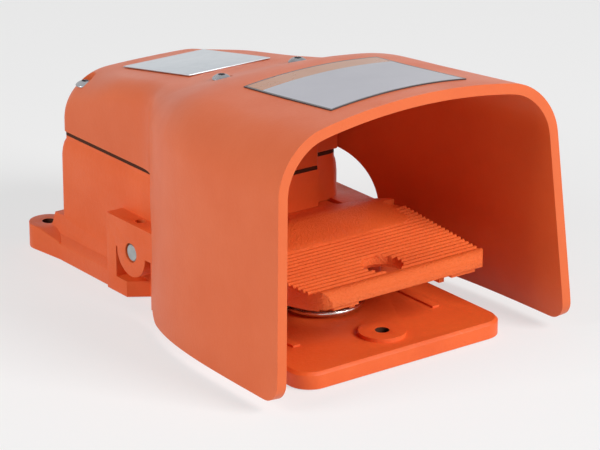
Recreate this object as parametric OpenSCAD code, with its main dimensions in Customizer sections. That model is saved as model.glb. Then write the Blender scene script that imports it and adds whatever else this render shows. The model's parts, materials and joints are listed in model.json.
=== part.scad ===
// Guarded industrial foot switch: a cast base carries a sealed switch box, a
// hinged pedal with a coil return spring, and a one-piece cover and foot guard.
// X is the width, the foot comes in from -Y, Z is up, and the floor is z = 0.

/* [Overall] */
// outside width of the foot guard near the floor
guard_width = 172; // [160:1:190]
// overall length from the guard mouth to the rear mounting ears
overall_length = 255; // [250:1:270]
// height of the guard roof at the mouth, on the centreline
guard_height = 130; // [124:1:140]

/* [Switch box] */
// height of the cover roof over its front wall
cover_height = 111.8; // [108:0.2:116]
// width of the box at the cover joint
box_width = 92.8; // [90:0.2:98]
// thickness of the cast walls
wall = 5; // [4:0.5:6]
// height of the joint between base and cover
seam_height = 61.5; // [58:0.5:66]
// thickness of the cover gasket
gasket_thick = 1.8; // [1.2:0.1:2.5]

/* [Base] */
// width of the front plate
plate_width = 119; // [112:1:124]
// thickness of the front plate
plate_thick = 8; // [6:0.5:10]
// spacing of the two rear mounting holes
ear_spacing = 98; // [94:1:104]
// diameter of the three mounting holes
mount_hole = 6.8; // [5.5:0.1:8]
// thread size of the conduit entry
conduit_thread = 26.7; // [20:0.1:27]

/* [Pedal] */
// diameter of the pivot pin
pin_diameter = 9.5; // [8:0.5:11]
// width of the pedal at its nosing
pedal_width = 92.8; // [86:0.2:96]
// distance from one tread rib to the next
rib_pitch = 3.3; // [3:0.1:4]
// free swing of the pedal in degrees
pedal_swing = 6; // [4:0.5:6]
// mean diameter of the return spring
spring_diameter = 38.6; // [34:0.2:40]
// wire diameter of the return spring
spring_wire = 2.3; // [1.8:0.1:2.6]

/* [Fasteners] */
// thread diameter of the cover screws
cover_screw = 5; // [4:0.5:6]
// distance between the two front cover screws
front_screw_gap = 44.6; // [40:0.2:50]

/* [Hidden] */
$fn = 64;
eps = 0.01;
// clearance on diameter of screws and pins in their holes
fit = 0.04;
mouth_y = -overall_length / 2;
mouth_lean = 0.077;
ear_y = overall_length / 2 - 10;
half_box = box_width / 2;
box_front = 2;
cover_rear = overall_length / 2 - 21;
base_rear = cover_rear + 1.5;
base_half = half_box + 2.2;
inner_half = half_box - wall;
inner_rear = cover_rear - wall;
panel_half = 31;
panel_y = -2.5;
step_down = 4.5;
cover_z = seam_height + gasket_thick;
floor_under = 38;
floor_top = floor_under + 4.5;
well_front = 66;
well_floor = 10;
cheek_x = 58;
ledge_z = 39;
foot_top = 8;
plate_front = mouth_y + 15;
hole_y = plate_front + 19.5;
cheek_front = plate_front + 76.5;
pin_y = 29;
pin_z = 24;
plunger_y = 50;
// upward travel of the plunger at the end of the swing
travel = (plunger_y - pin_y) * sin(pedal_swing);
nose_z = floor_under - 4;
front_screw = [front_screw_gap / 2, 2.5, cover_height - 0.2];
rear_screw = [half_box - 8.8, cover_rear - 8.2, cover_height - 24.8];
hub_half = inner_half - 1.8;
spring_y = plate_front + 65.7;
under_z = 36;
conduit_z = 34;
guard_floor = 6;
guard_wall = 5;
// contact block: it stands on its bracket and ends a set room under the roof
block_y = plunger_y;
block_z = floor_top + 5.1;
block_half = 17;
roof_room = 9.676;
block_top = cover_height - 0.172 * (block_y + block_half) - guard_wall - roof_room;
block_h = block_top - block_z;
shelf_a = block_z + block_h * 15.4 / 38;
shelf_b = block_z + block_h * 22.4 / 38;
bridge_thick = 1.2;
bridge_a = shelf_a + bridge_thick + 0.05;
bridge_b = shelf_b - bridge_thick - travel - 0.05;
carrier_z = block_z + block_h * 10.4 / 38;
carrier_top = block_z + block_h * 28.4 / 38;
block_screw = [22, 14];
// stop posts: the pedal underside comes to them at the end of the swing
stop_y = cheek_front - 2;
stop_z = pin_z + (under_z - pin_z) * cos(pedal_swing)
    + (stop_y - 5 - pin_y) * sin(pedal_swing) - 0.3;

// ---------------------------------------------------------------- helpers
module rounded(x, y0, y1, r) {
    for (s = [-1, 1], y = [y0 + r, y1 - r]) translate([s * (x - r), y]) circle(r);
    translate([-x + r, y0]) square([2 * (x - r), y1 - y0]);
    translate([-x, y0 + r]) square([2 * x, y1 - y0 - 2 * r]);
}

// a side profile drawn in (y, z), pushed along X from x0 to x1
module along_x(x0, x1) {
    translate([x0, 0, 0]) rotate([90, 0, 90]) linear_extrude(x1 - x0) children();
}

module both() {
    children();
    mirror([1, 0, 0]) children();
}

// round wire wound into a coil with closed ends
module coil(r, wire, h, turns, steps = 24, sides = 8) {
    n = round(turns * steps);
    rise = function (t) t < 1 ? t * wire
        : t > turns - 1 ? h - wire - (turns - t) * wire
        : wire + (t - 1) * (h - 3 * wire) / (turns - 2);
    pts = [for (i = [0:n]) let (t = i / steps) for (j = [0:sides - 1])
        let (a = t * 360, b = j * 360 / sides)
        [(r + wire / 2 * cos(b)) * cos(a), (r + wire / 2 * cos(b)) * sin(a),
         wire / 2 + rise(t) + wire / 2 * sin(b)]];
    skin = [for (i = [0:n - 1], j = [0:sides - 1]) let (k = (j + 1) % sides)
        [i * sides + j, i * sides + k, (i + 1) * sides + k, (i + 1) * sides + j]];
    polyhedron(pts, concat(skin, [[for (j = [sides - 1:-1:0]) j]],
        [[for (j = [0:sides - 1]) n * sides + j]]), convexity = 8);
}

// ------------------------------------------------------------ guard shape
function rise2(x) = 1 - 2 / (exp(2 * x) + 1);
function flare(y) = y > 27.7 ? 0 : rise2((27.7 - y) * 0.0208);
function smooth(t) = t < 0 ? 0 : t > 1 ? 1 : t * t * (3 - 2 * t);
function roof_cover(y) = cover_height - 0.172 * y;
function roof_guard(y) = guard_height - 0.085 * (y - mouth_y - 9.7);
function roof(y) = let (g = smooth((14 - y) / (-79.5 - mouth_y)))
    roof_cover(y) * (1 - g) + roof_guard(y) * g;
// the rear edge rolls in over its last run, further at the roof than at the sides
function roll(y, run, drop) = let (d = (y - cover_rear + run) / run)
    d < 0 ? 0 : drop * (1 - sqrt(max(0, 1 - d * d)));
// the roof's side corners grow rounder towards the rear
function bulge(y) = smooth((y - cover_rear + 44.5) / 38);

// one cross-section of the guard, bottom left to bottom right, shrunk by t
function section(y, t) = let (
    f = flare(y + 0.6 * t),
    g = bulge(y),
    w = half_box + (guard_width / 2 - 6 - half_box) * f - t - roll(y + t, 3, 3),
    rx = 11 + 14 * f + 12 * g - 0.7 * t,
    rz = 11 + 12 * f + 8 * g - 0.7 * t,
    top = roof(y) - t - roll(y + t, 8.5, 7),
    c = 0.0006 + 0.00107 * f,
    zs = top - c * w * w - rz,
    low = w + (6 * f / 90) * (zs - guard_floor + t),
    n = 9, m = 5,
    right = concat([[low, guard_floor - t]],
        [for (i = [0:n]) let (a = 90 - i * 90 / n, x = w - rx + rx * sin(a))
            [x, top - c * x * x - rz * (1 - cos(a))]],
        [for (i = [1:m]) let (x = (w - rx) * (1 - i / (m + 0.5))) [x, top - c * x * x]])
    ) concat([for (p = right) [-p[0], y, p[1]]],
             [for (i = [len(right) - 1:-1:0]) [right[i][0], y, right[i][1]]]);

module skin(ys, t) {
    rows = [for (y = ys) section(y, t)];
    k = len(rows[0]);
    n = len(rows);
    polyhedron([for (r = rows, p = r) p], concat(
        [for (i = [0:n - 2], j = [0:k - 1]) let (q = (j + 1) % k)
            [i * k + q, i * k + j, (i + 1) * k + j, (i + 1) * k + q]],
        [[for (j = [0:k - 1]) j]], [[for (j = [k - 1:-1:0]) (n - 1) * k + j]]),
        convexity = 6);
}

function front_rows(out) = concat([mouth_y - out],
    [for (i = [0:4]) mouth_y + 9.5 + i * (-67.5 - mouth_y) / 4],
    [-46, -38, -30, -22, -14, -8, -2, 4, 10]);

function rear_rows(t) = concat([for (d = [44.5, 37, 30, 23, 16]) cover_rear - d],
    [for (d = [8.5, 5.5, 3, 1.6, 0.6, 0]) cover_rear - t - d]);

// ------------------------------------------------------------------ nodes
// the main casting: plate, box, pivot cheeks, ears and conduit entry
module base_casting() color([0.86, 0.33, 0.13]) difference() {
    union() {
        hull() {
            linear_extrude(plate_thick - 1.4) plate_outline(0);
            linear_extrude(plate_thick) plate_outline(1.4);
        }
        // the walls of the box roll in towards the cover joint
        hull() for (s = [[10, 0], [6.5, 0.2], [4, 0.5], [2, 1]])
            linear_extrude(seam_height - s[0])
                rounded(base_half + (half_box - base_half) * s[1], box_front,
                    base_rear + (cover_rear - base_rear) * s[1], 6 - s[1]);
        linear_extrude(seam_height) rounded(half_box, box_front, cover_rear, 5);
        translate([-panel_half, panel_y, floor_under])
            cube([2 * panel_half, 8, seam_height - step_down - floor_under]);
        both() side_form();
        translate([0, hole_y, 0]) cylinder(d = 22.5, h = plate_thick + 2);
        translate([0, spring_y, 0]) cylinder(d = spring_diameter - 5, h = plate_thick + 3);
        translate([0, base_rear + 4, conduit_z]) rotate([90, 0, 0])
            cylinder(d = conduit_thread + 10, h = 10);
    }
    // switch chamber over the raised floor, and the deeper wiring well
    translate([-inner_half, box_front + wall, floor_top])
        cube([2 * inner_half, inner_rear - box_front - wall, seam_height]);
    translate([-inner_half, well_front, well_floor])
        cube([2 * inner_half, inner_rear - well_front, seam_height]);
    // room under the floor for the pedal hub and tail
    translate([-inner_half, -eps, -1])
        cube([2 * inner_half, well_front - wall, floor_under + 1]);
    // front wall drops between the corner posts
    translate([-panel_half + 0.5, panel_y - 1, seam_height - step_down])
        cube([2 * panel_half - 1, 12, 20]);
    // pivot bore, set screw holes, plunger bush hole
    translate([-cheek_x - 1, pin_y, pin_z]) rotate([0, 90, 0])
        cylinder(d = pin_diameter + fit, h = 2 * cheek_x + 2);
    both() translate([cheek_x - 6, pin_y, pin_z]) cylinder(d = 5 + fit, h = 20);
    translate([0, plunger_y, floor_under - 1]) cylinder(d = 13, h = 10);
    // mounting holes
    translate([0, hole_y, -1]) cylinder(d = mount_hole, h = 20);
    both() translate([ear_spacing / 2, ear_y, -1]) cylinder(d = mount_hole, h = 20);
    // conduit entry
    translate([0, base_rear + 5, conduit_z]) rotate([90, 0, 0])
        cylinder(d = conduit_thread, h = 20);
    // tapped holes for the cover screws
    both() translate([front_screw[0], front_screw[1], floor_under + 6])
        cylinder(d = cover_screw + fit, h = 30);
    both() translate([rear_screw[0], rear_screw[1], seam_height - 15.5])
        cylinder(d = cover_screw + fit, h = 20);
    both() for (y = [18, 56]) translate([31, y, floor_under + 2])
        cylinder(d = 4 + fit, h = 10);
    translate([0, inner_rear - 17, 4]) cylinder(d = 4 + fit, h = 10);
}

module plate_outline(inset) {
    rounded(plate_width / 2 - inset, plate_front + inset, 10, 11 - inset);
    translate([-plate_width / 2 + inset, plate_front + 52.5])
        square([plate_width - 2 * inset, 48]);
}

// right side of the base: cheek, pin lug, rail, mounting ear, screw posts
module side_form() {
    difference() {
        along_x(inner_half, cheek_x) polygon([[pin_y + 21, 0], [pin_y + 21, ledge_z],
            [cheek_front + 24, ledge_z], [cheek_front + 17, ledge_z - 2],
            [cheek_front + 14, ledge_z - 7], [cheek_front + 10, ledge_z - 19],
            [cheek_front, plate_thick - 2], [cheek_front, 0]]);
        // relief round the pin lug
        difference() {
            translate([base_half, pin_y - 17, -1]) cube([20, 30, pin_z + 1]);
            along_x(inner_half, cheek_x) translate([pin_y, pin_z]) circle(r = 12);
            linear_extrude(foot_top) polygon([[base_half - 1, pin_y - 3], [cheek_x, pin_y + 4],
                [cheek_x + 2, pin_y + 4], [cheek_x + 2, pin_y + 14], [base_half - 1, pin_y + 14]]);
        }
    }
    translate([0, base_rear + 4, 0]) rotate([90, 0, 0]) linear_extrude(66) polygon([
        [inner_half, 0], [base_half + 7.9, 0], [base_half + 7.9, 8], [base_half + 6.8, 9.2],
        [base_half + 3.4, 11], [base_half + 1.4, 14], [base_half - 0.2, 19], [inner_half, 19]]);
    // mounting ear, its side tapering forward into the rail
    hull() {
        translate([ear_spacing / 2, ear_y, 0]) cylinder(r = 10, h = 12.5, $fn = 32);
        translate([inner_half, base_rear - 12, 0]) cube([base_half + 7.9 - inner_half, 4, 9.2]);
    }
    intersection() {
        translate([rear_screw[0], rear_screw[1], 2]) cylinder(d = 13, h = seam_height - 2);
        translate([0, 60, 0]) cube([half_box, cover_rear - 60.5, seam_height]);
    }
    translate([31, 18, floor_under]) cylinder(d = 10, h = floor_top - floor_under + 3.5);
    translate([31, 56, floor_under]) cylinder(d = 10, h = floor_top - floor_under + 3.5);
    translate([36, stop_y, 0]) cylinder(d = 10, h = stop_z);
    translate([39, plate_front + 30.5, 0]) cube([4, 34, plate_thick + 0.9]);
}

// cover and foot guard cast in one piece
module cover_guard() color([0.87, 0.35, 0.16]) difference() {
    skin(concat(front_rows(6.5), [16, 22, 27.7], rear_rows(0)), 0);
    difference() {
        skin(concat(front_rows(8.5), [16, 22, 24.7], rear_rows(guard_wall)), guard_wall);
        both() inner_walls();
    }
    // everything below the cover joint, behind the guard walls
    translate([-half_box - 2.8, box_front - 0.02, 0]) cube([box_width + 5.6, overall_length, cover_z]);
    translate([-panel_half - 0.2, panel_y - 0.02, 0])
        cube([2 * panel_half + 0.4, 8, cover_z - step_down]);
    along_x(-100, 100) rear_edge();
    along_x(-100, 100) mouth_edge();
    // screw holes and the flats under the screw heads
    both() {
        translate(front_screw) cylinder(d = 11, h = 30);
        translate([front_screw[0], front_screw[1], 40]) cylinder(d = cover_screw + 0.6, h = guard_height);
        translate(rear_screw) cylinder(d = 11, h = 30);
        translate([rear_screw[0], rear_screw[1], 40]) cylinder(d = cover_screw + 0.6, h = guard_height);
    }
}

// walls of the cover that stand inside the guard, and its screw posts
module inner_walls() {
    translate([-eps, box_front, 50]) cube([half_box + eps, wall, 100]);
    translate([-eps, panel_y, 50]) cube([panel_half, wall, 100]);
    translate([inner_half - 0.1, box_front, 50]) cube([wall + 0.1, 25, 100]);
    translate([front_screw[0], front_screw[1] + 1, 50]) cylinder(d = 12, h = 100);
    translate([rear_screw[0], rear_screw[1], 50]) cylinder(d = 13, h = 100);
    translate([rear_screw[0], rear_screw[1], rear_screw[2] - 6]) cylinder(d = 22, h = 40);
}

module rear_edge() {
    translate([25.5, 0]) square([100, cover_z - 1]);
    translate([25.5, cover_z - 31.4]) circle(r = 31, $fn = 96);
    translate([-5.5, 19]) square([60, cover_z - 31.4 - 19]);
    difference() {
        translate([-18.5, 0]) square([60, 19.01]);
        translate([-18.5, 19]) circle(r = 13);
    }
}

module mouth_edge() {
    top = guard_height + 20;
    polygon([[mouth_y - 20, 0], [mouth_y - 10 * mouth_lean, guard_floor - 1],
        [mouth_y + mouth_lean * (top - guard_floor - 9), top], [mouth_y - 20, top]]);
    difference() {
        translate([mouth_y - 20, 0]) square([29.1, 15]);
        translate([mouth_y + 9.1, 15]) circle(r = 9.1);
    }
}

// flat rubber ring that follows the step in the front wall
module cover_gasket() color([0.13, 0.09, 0.08]) difference() {
    union() {
        translate([0, 0, seam_height]) linear_extrude(gasket_thick) difference() {
            rounded(half_box, box_front, cover_rear, 5);
            translate([-half_box + wall, box_front + wall])
                square([box_width - 2 * wall, cover_rear - box_front - 2 * wall]);
            translate([-panel_half + 0.5, -5]) square([2 * panel_half - 1, 14]);
        }
        both() intersection() {
            translate([rear_screw[0], rear_screw[1], seam_height])
                cylinder(d = 12, h = gasket_thick);
            translate([0, 60, 0]) cube([half_box, cover_rear - 60.5, 90]);
        }
        translate([-panel_half + 0.5, panel_y, seam_height - step_down])
            cube([2 * panel_half - 1, wall - panel_y + box_front, gasket_thick]);
        both() translate([panel_half - 0.5 - gasket_thick, box_front, seam_height - step_down])
            cube([gasket_thick, wall, step_down + gasket_thick]);
    }
    both() {
        translate([front_screw[0], front_screw[1], 40]) cylinder(d = cover_screw + 0.6, h = 40);
        translate([rear_screw[0], rear_screw[1], 40]) cylinder(d = cover_screw + 0.6, h = 40);
    }
}

// button head socket screw, head on z = 0, shank down
module button_screw(len, d = cover_screw) {
    difference() {
        intersection() {
            cylinder(d = 1.84 * d, h = 0.54 * d);
            translate([0, 0, -0.66 * d]) sphere(r = 1.2 * d);
        }
        translate([0, 0, 0.18 * d]) cylinder(d = 0.62 * d * 1.1547, h = d, $fn = 6);
    }
    translate([0, 0, -len]) cylinder(d = d, h = len + 0.02);
}

module cover_screws() color([0.75, 0.76, 0.77]) both() {
    translate(front_screw) button_screw(front_screw[2] - floor_under - 7);
    translate(rear_screw) button_screw(rear_screw[2] - seam_height + 14.5);
}

// plain rating plate on the sloping cover
module name_plate() color([0.72, 0.74, 0.77])
    translate([0, cover_rear - 79.5, roof_cover(cover_rear - 79.5)]) rotate([-atan(0.172), 0, 0])
        translate([-24, 0, 0.02]) cube([48, 58, 0.6]);

// plain label bent over the guard roof
module guard_label() color([0.76, 0.77, 0.80]) {
    y0 = mouth_y + 23.5;
    y1 = mouth_y + 89.5;
    n = 12;
    pts = [for (k = [0, 1], y = [y0, y1], i = [0:n]) let (x = -38.5 + 77 * i / n,
        f = flare(y), c = 0.0006 + 0.00107 * f) [x, y, roof(y) - c * x * x + 0.06 + 0.5 * k]];
    m = n + 1;
    polyhedron(pts, concat(
        [for (i = [0:n - 1]) [i, i + 1, m + i + 1, m + i]],
        [for (i = [0:n - 1]) [2 * m + i, 3 * m + i, 3 * m + i + 1, 2 * m + i + 1]],
        [for (i = [0:n - 1]) [i, 2 * m + i, 2 * m + i + 1, i + 1]],
        [for (i = [0:n - 1]) [m + i, m + i + 1, 3 * m + i + 1, 3 * m + i]],
        [[0, m, 3 * m, 2 * m], [n, 2 * m + n, 3 * m + n, m + n]]));
}

module pivot_pin() color([0.62, 0.66, 0.66])
    translate([-cheek_x + 0.6, pin_y, pin_z]) rotate([0, 90, 0]) union() {
        translate([0, 0, 1]) cylinder(d = pin_diameter, h = 2 * cheek_x - 3.2);
        cylinder(d = pin_diameter - 1.6, h = 2 * cheek_x - 1.2);
    }

// socket set screws that lock the pin in its lugs
module pin_set_screws() color([0.25, 0.25, 0.27]) both() difference() {
    translate([cheek_x - 6, pin_y, pin_z + pin_diameter / 2]) cylinder(d = 5, h = 6);
    translate([cheek_x - 6, pin_y, pin_z + pin_diameter / 2 + 3.4])
        cylinder(d = 2.9, h = 6, $fn = 6);
}

module thrust_washers() color([0.72, 0.60, 0.30]) both()
    translate([hub_half + 0.2, pin_y, pin_z]) rotate([0, 90, 0]) difference() {
        cylinder(d = 18, h = inner_half - hub_half - 0.2);
        translate([0, 0, -1]) cylinder(d = pin_diameter + fit, h = 5);
    }

// cast pedal: tread, nosing, skirts, arched neck, hub and tail
module pedal() color([0.92, 0.36, 0.15]) difference() {
    union() {
        intersection() {
            linear_extrude(60) pedal_plan();
            union() {
                from_front() tread();
                along_x(-60, 60) neck();
                from_front() nosing();
                both() skirt();
            }
        }
        intersection() {
            from_front() raised();
            linear_extrude(60)
                rounded(pedal_width / 2 - 0.4, plate_front + 53, plate_front + 88.5, 9);
        }
        translate([-hub_half, pin_y, pin_z]) rotate([0, 90, 0])
            cylinder(r = 10, h = 2 * hub_half);
        translate([-9, pin_y, pin_z - 4.5]) cube([18, plunger_y - pin_y + 6, 8.5]);
        both() translate([24.5, plate_front + 8.5, under_z - 5]) cube([3, 80, 6]);
        translate([0, spring_y, under_z - 3]) cylinder(d = spring_diameter - 5, h = 5);
    }
    translate([-60, pin_y, pin_z]) rotate([0, 90, 0]) cylinder(d = 12, h = 120);
    translate([0, plate_front + 20.1, under_z - 16]) cylinder(d = 20, h = 40);
    translate([0, plate_front + 20.1, under_z - 16]) cylinder(d = 27, h = 18.6);
    translate([0, plunger_y, 10]) cylinder(d = 6, h = 30);
}

// outline of the pedal seen from above
module pedal_plan() {
    h = pedal_width / 2;
    side = [[h - 4, -0.5], [h, 3.5], [h + 2.6, 11], [h + 8.4, 73.5], [h + 6.1, 80.5],
        [h + 0.6, 86.5], [hub_half, 90.5], [hub_half, 40 - plate_front]];
    translate([0, plate_front]) polygon(concat(side,
        [for (i = [len(side) - 1:-1:0]) [-side[i][0], side[i][1]]]));
}

// side profile whose zero is the plate's front edge at the pedal underside
module from_front() {
    along_x(-60, 60) translate([plate_front, under_z]) children();
}

function tread_z(y) = 5.6 + 0.024 * (y - 11.1);

// tread plate with its cross ribs
module tread() polygon(concat([[5.5, 0], [5.5, tread_z(5.5)]],
    [for (i = [0:19]) let (y = 7.6 + i * rib_pitch) each [[y, tread_z(y)],
        [y + 0.5, tread_z(y) + 1.3], [y + 1.5, tread_z(y) + 1.3], [y + 2.1, tread_z(y)]]],
    [[82.5, tread_z(82.5)], [88.5, 0]]));

module nosing() {
    translate([4.7, 4.9]) circle(r = 3.4);
    translate([2.9, 3]) circle(r = 2.6);
    polygon([[0.3, 3], [0.5, 1.2], [2.5, 0], [8.5, 0], [8.5, 6.6], [4.7, 8.3], [1.9, 6.8]]);
}

module raised() polygon([[53, 4], [53, 8.2], [54, 8.6], [78.5, 10], [82.5, 9.9],
    [86.5, 8.9], [88.5, 4]]);

// arched neck between tread and hub, in (y, z)
module neck() {
    f = plate_front;
    top = [for (i = [0:14]) let (t = i / 14, s = 1 - t, a = s * s * s,
            b = 3 * s * s * t, c = 3 * s * t * t, d = t * t * t)
        [a * (f + 78.5) + b * (f + 94.5) + c * (pin_y - 41) + d * (pin_y - 30),
         a * (under_z + 10) + b * (under_z + 10.2) + (c + d) * (pin_z + 13.8)]];
    polygon(concat(top, [[pin_y - 22, pin_z + 13.8], [pin_y - 5, pin_z + 9.6],
        [pin_y + 1, pin_z + 6], [pin_y - 3, pin_z - 9], [pin_y - 9, pin_z - 7],
        [pin_y - 31, pin_z + 6.5], [pin_y - 41, under_z - 1.4], [f + 88.5, under_z],
        [f + 78.5, under_z]]));
}

// side skirt under the edge of the tread, on the left
module skirt() translate([-pedal_width / 2 - 3.6, plate_front, under_z]) {
    difference() {
        along_x(-9, 3) polygon([[2.5, -0.6], [4.5, 2], [82.5, 2], [82.5, -9], [72.5, -10.5]]);
        translate([0, 0, -20]) linear_extrude(40) polygon([[60, -7.5], [5.6, -7.5],
            [5.6, 3.5], [3, 11], [-1, 73.5], [0, 92.5], [60, 92.5]]);
    }
    translate([9, 2.5, -1.2]) cube([14, 5, 3]);
}

module pivot_bushes() color([0.70, 0.55, 0.28]) both()
    translate([hub_half - 16, pin_y, pin_z]) rotate([0, 90, 0]) difference() {
        cylinder(d = 12, h = 16);
        translate([0, 0, -1]) cylinder(d = pin_diameter + 0.1, h = 18);
    }

module return_spring() color([0.78, 0.78, 0.76])
    translate([0, spring_y, plate_thick + 0.02])
        coil(spring_diameter / 2, spring_wire, under_z - plate_thick - 0.04, 7);

// adjusting screw in the pedal tail, round nosed, slotted below
module lift_screw() color([0.70, 0.71, 0.72]) difference() {
    union() {
        translate([0, plunger_y, pin_z - 8]) cylinder(d = 6, h = nose_z - pin_z + 6.6);
        intersection() {
            translate([0, plunger_y, nose_z - 4]) sphere(r = 4);
            translate([0, plunger_y, nose_z - 1.5]) cylinder(d = 6, h = 3);
        }
    }
    translate([-0.6, plunger_y - 5, pin_z - 9]) cube([1.2, 10, 2.4]);
}

module lift_nut() color([0.66, 0.67, 0.68]) difference() {
    translate([0, plunger_y, pin_z + 4]) cylinder(d = 11.5, h = 3.2, $fn = 6);
    translate([0, plunger_y, 20]) cylinder(d = 6 + fit, h = 20);
}

module plunger_bush() color([0.74, 0.62, 0.32]) difference() {
    union() {
        translate([0, plunger_y, floor_under + 0.3]) cylinder(d = 13, h = 6);
        translate([0, plunger_y, floor_top]) cylinder(d = 19.6, h = 3.4, $fn = 6);
    }
    translate([0, plunger_y, 30]) cylinder(d = 8.1, h = 20);
    translate([0, plunger_y, floor_under]) cylinder(d = 11, h = 2.9);
}

module plunger_seal() color([0.10, 0.10, 0.11]) translate([0, plunger_y, floor_under + 0.5])
    difference() {
        cylinder(d = 11, h = 2.4);
        translate([0, 0, -1]) cylinder(d = 8.1, h = 5);
    }

module plunger() color([0.78, 0.79, 0.80]) difference() {
    translate([0, plunger_y, nose_z + 0.1]) cylinder(d = 8, h = block_z - 0.8 - nose_z);
    translate([0, plunger_y, nose_z + 0.7]) difference() {
        cylinder(d = 10, h = 0.9);
        translate([0, 0, -1]) cylinder(d = 6.4, h = 3);
    }
}

module plunger_clip() color([0.35, 0.35, 0.37]) translate([0, plunger_y, nose_z + 0.7])
difference() {
    cylinder(d = 11.6, h = 0.9);
    translate([0, 0, -1]) cylinder(d = 6.4 + fit, h = 3);
    translate([-1.6, 0, -1]) cube([3.2, 8, 3]);
}

module switch_bracket() color([0.70, 0.71, 0.68]) difference() {
    translate([-37, 12, floor_top + 3.5]) cube([74, 56, block_z - floor_top - 3.5]);
    translate([0, plunger_y, 40]) cylinder(d = 12, h = 12);
    both() for (y = [18, 56]) translate([31, y, 40]) cylinder(d = 4.4, h = 12);
    block_screw_at() translate([0, 0, 40]) cylinder(d = 3 + fit, h = 12);
}

module pan_screw(len, d) {
    difference() {
        cylinder(d = 1.9 * d, h = 0.62 * d);
        translate([-0.14 * d, -d, 0.34 * d]) cube([0.28 * d, 2 * d, d]);
    }
    translate([0, 0, -len]) cylinder(d = d, h = len + 0.02);
}

module bracket_screws() color([0.73, 0.74, 0.75]) both() for (y = [18, 56])
    translate([31, y, block_z]) pan_screw(7, 4);

// the four places of the contact block's screws
module block_screw_at() for (x = [-1, 1], y = [-1, 1])
    translate([x * block_screw[0], block_y + y * block_screw[1], 0]) children();

// moulded housing of the contact block, with a terminal shelf each side
module switch_body() color([0.16, 0.14, 0.13]) difference() {
    union() {
        translate([-25, block_y - block_half, block_z]) cube([50, 2 * block_half, block_h]);
        both() {
            translate([25, block_y - 12, block_z + 6]) cube([12, 9, shelf_a - block_z - 6]);
            translate([25, block_y + 3, block_z + 6]) cube([12, 9, shelf_b - block_z - 6]);
            translate([25, block_y - 1.5, block_z + 6]) cube([12, 3, block_h - 14]);
        }
    }
    translate([-19, block_y - 13, block_z + 5.4]) cube([38, 26, block_h]);
    translate([0, plunger_y, 40]) cylinder(d = 6.1, h = 20);
    translate([0, plunger_y, block_z - 1]) cylinder(d = 9, h = travel + 1.2);
    block_screw_at() translate([0, 0, 40]) cylinder(d = 3 + fit, h = block_h + 40);
    both() {
        translate([15, block_y - 11.5, shelf_a]) cube([30, 8, 1.2]);
        translate([15, block_y + 3.5, shelf_b]) cube([30, 8, 1.2]);
        translate([31, block_y - 7.5, shelf_a - 7]) cylinder(d = 3.5 + fit, h = 12);
        translate([31, block_y + 7.5, shelf_b - 7]) cylinder(d = 3.5 + fit, h = 12);
    }
}

module switch_cover() color([0.20, 0.18, 0.17]) difference() {
    translate([-25, block_y - block_half, block_top]) cube([50, 2 * block_half, 2.6]);
    block_screw_at() translate([0, 0, 40]) cylinder(d = 3 + fit, h = block_h + 40);
}

module switch_screws() color([0.73, 0.74, 0.75]) block_screw_at()
    translate([0, 0, block_top + 2.6]) pan_screw(block_h + 4.2, 3);

// sliding carrier that holds the two contact bridges
module contact_carrier() color([0.82, 0.79, 0.70]) difference() {
    union() {
        translate([0, plunger_y, block_z - 0.6]) cylinder(d = 6, h = carrier_z - block_z + 1.6);
        translate([-4.5, block_y - 12, carrier_z]) cube([9, 24, carrier_top - carrier_z]);
        translate([0, plunger_y, carrier_top - 0.1]) cylinder(d = 5, h = 3.1);
    }
    translate([-6, block_y - 11.5, bridge_a]) cube([12, 8, bridge_thick]);
    translate([-6, block_y + 3.5, bridge_b]) cube([12, 8, bridge_thick]);
}

module contact_bridges() color([0.80, 0.55, 0.30]) {
    translate([-15, block_y - 11.5, bridge_a]) cube([30, 8, bridge_thick]);
    translate([-15, block_y + 3.5, bridge_b]) cube([30, 8, bridge_thick]);
}

module carrier_spring() color([0.80, 0.80, 0.78]) translate([0, plunger_y,
    carrier_top + 0.02]) coil(3.6, 0.8, block_top - carrier_top - 0.04, 6, 16, 6);

module fixed_contacts() color([0.78, 0.62, 0.30]) both() {
    difference() {
        translate([8.5, block_y - 11.5, shelf_a]) cube([28.5, 8, 1.2]);
        translate([31, block_y - 7.5, shelf_a - 1]) cylinder(d = 3.5, h = 4);
    }
    difference() {
        translate([8.5, block_y + 3.5, shelf_b]) cube([28.5, 8, 1.2]);
        translate([31, block_y + 7.5, shelf_b - 1]) cylinder(d = 3.5, h = 4);
    }
}

module wire_clamps() color([0.72, 0.73, 0.74]) both() {
    difference() {
        translate([26.5, block_y - 11.5, shelf_a + 1.2]) cube([9, 8, 1.4]);
        translate([31, block_y - 7.5, shelf_a]) cylinder(d = 3.5, h = 4);
    }
    difference() {
        translate([26.5, block_y + 3.5, shelf_b + 1.2]) cube([9, 8, 1.4]);
        translate([31, block_y + 7.5, shelf_b]) cylinder(d = 3.5, h = 4);
    }
}

module terminal_screws() color([0.74, 0.75, 0.72]) both() {
    translate([31, block_y - 7.5, shelf_a + 2.6]) pan_screw(8, 3.5);
    translate([31, block_y + 7.5, shelf_b + 2.6]) pan_screw(8, 3.5);
}

module ground_screw() color([0.20, 0.45, 0.22])
    translate([0, inner_rear - 17, well_floor + 1]) pan_screw(6, 4);

module ground_washer() color([0.76, 0.66, 0.36]) translate([0, inner_rear - 17,
    well_floor]) difference() {
    cylinder(d = 9.6, h = 1);
    translate([0, 0, -1]) cylinder(d = 4, h = 3);
}

base_casting();
cover_guard();
cover_gasket();
cover_screws();
name_plate();
guard_label();
pivot_pin();
pin_set_screws();
thrust_washers();
pedal();
pivot_bushes();
return_spring();
lift_screw();
lift_nut();
plunger_bush();
plunger_seal();
plunger();
plunger_clip();
switch_bracket();
bracket_screws();
switch_body();
switch_cover();
switch_screws();
contact_carrier();
contact_bridges();
carrier_spring();
fixed_contacts();
wire_clamps();
terminal_screws();
ground_screw();
ground_washer();
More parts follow.
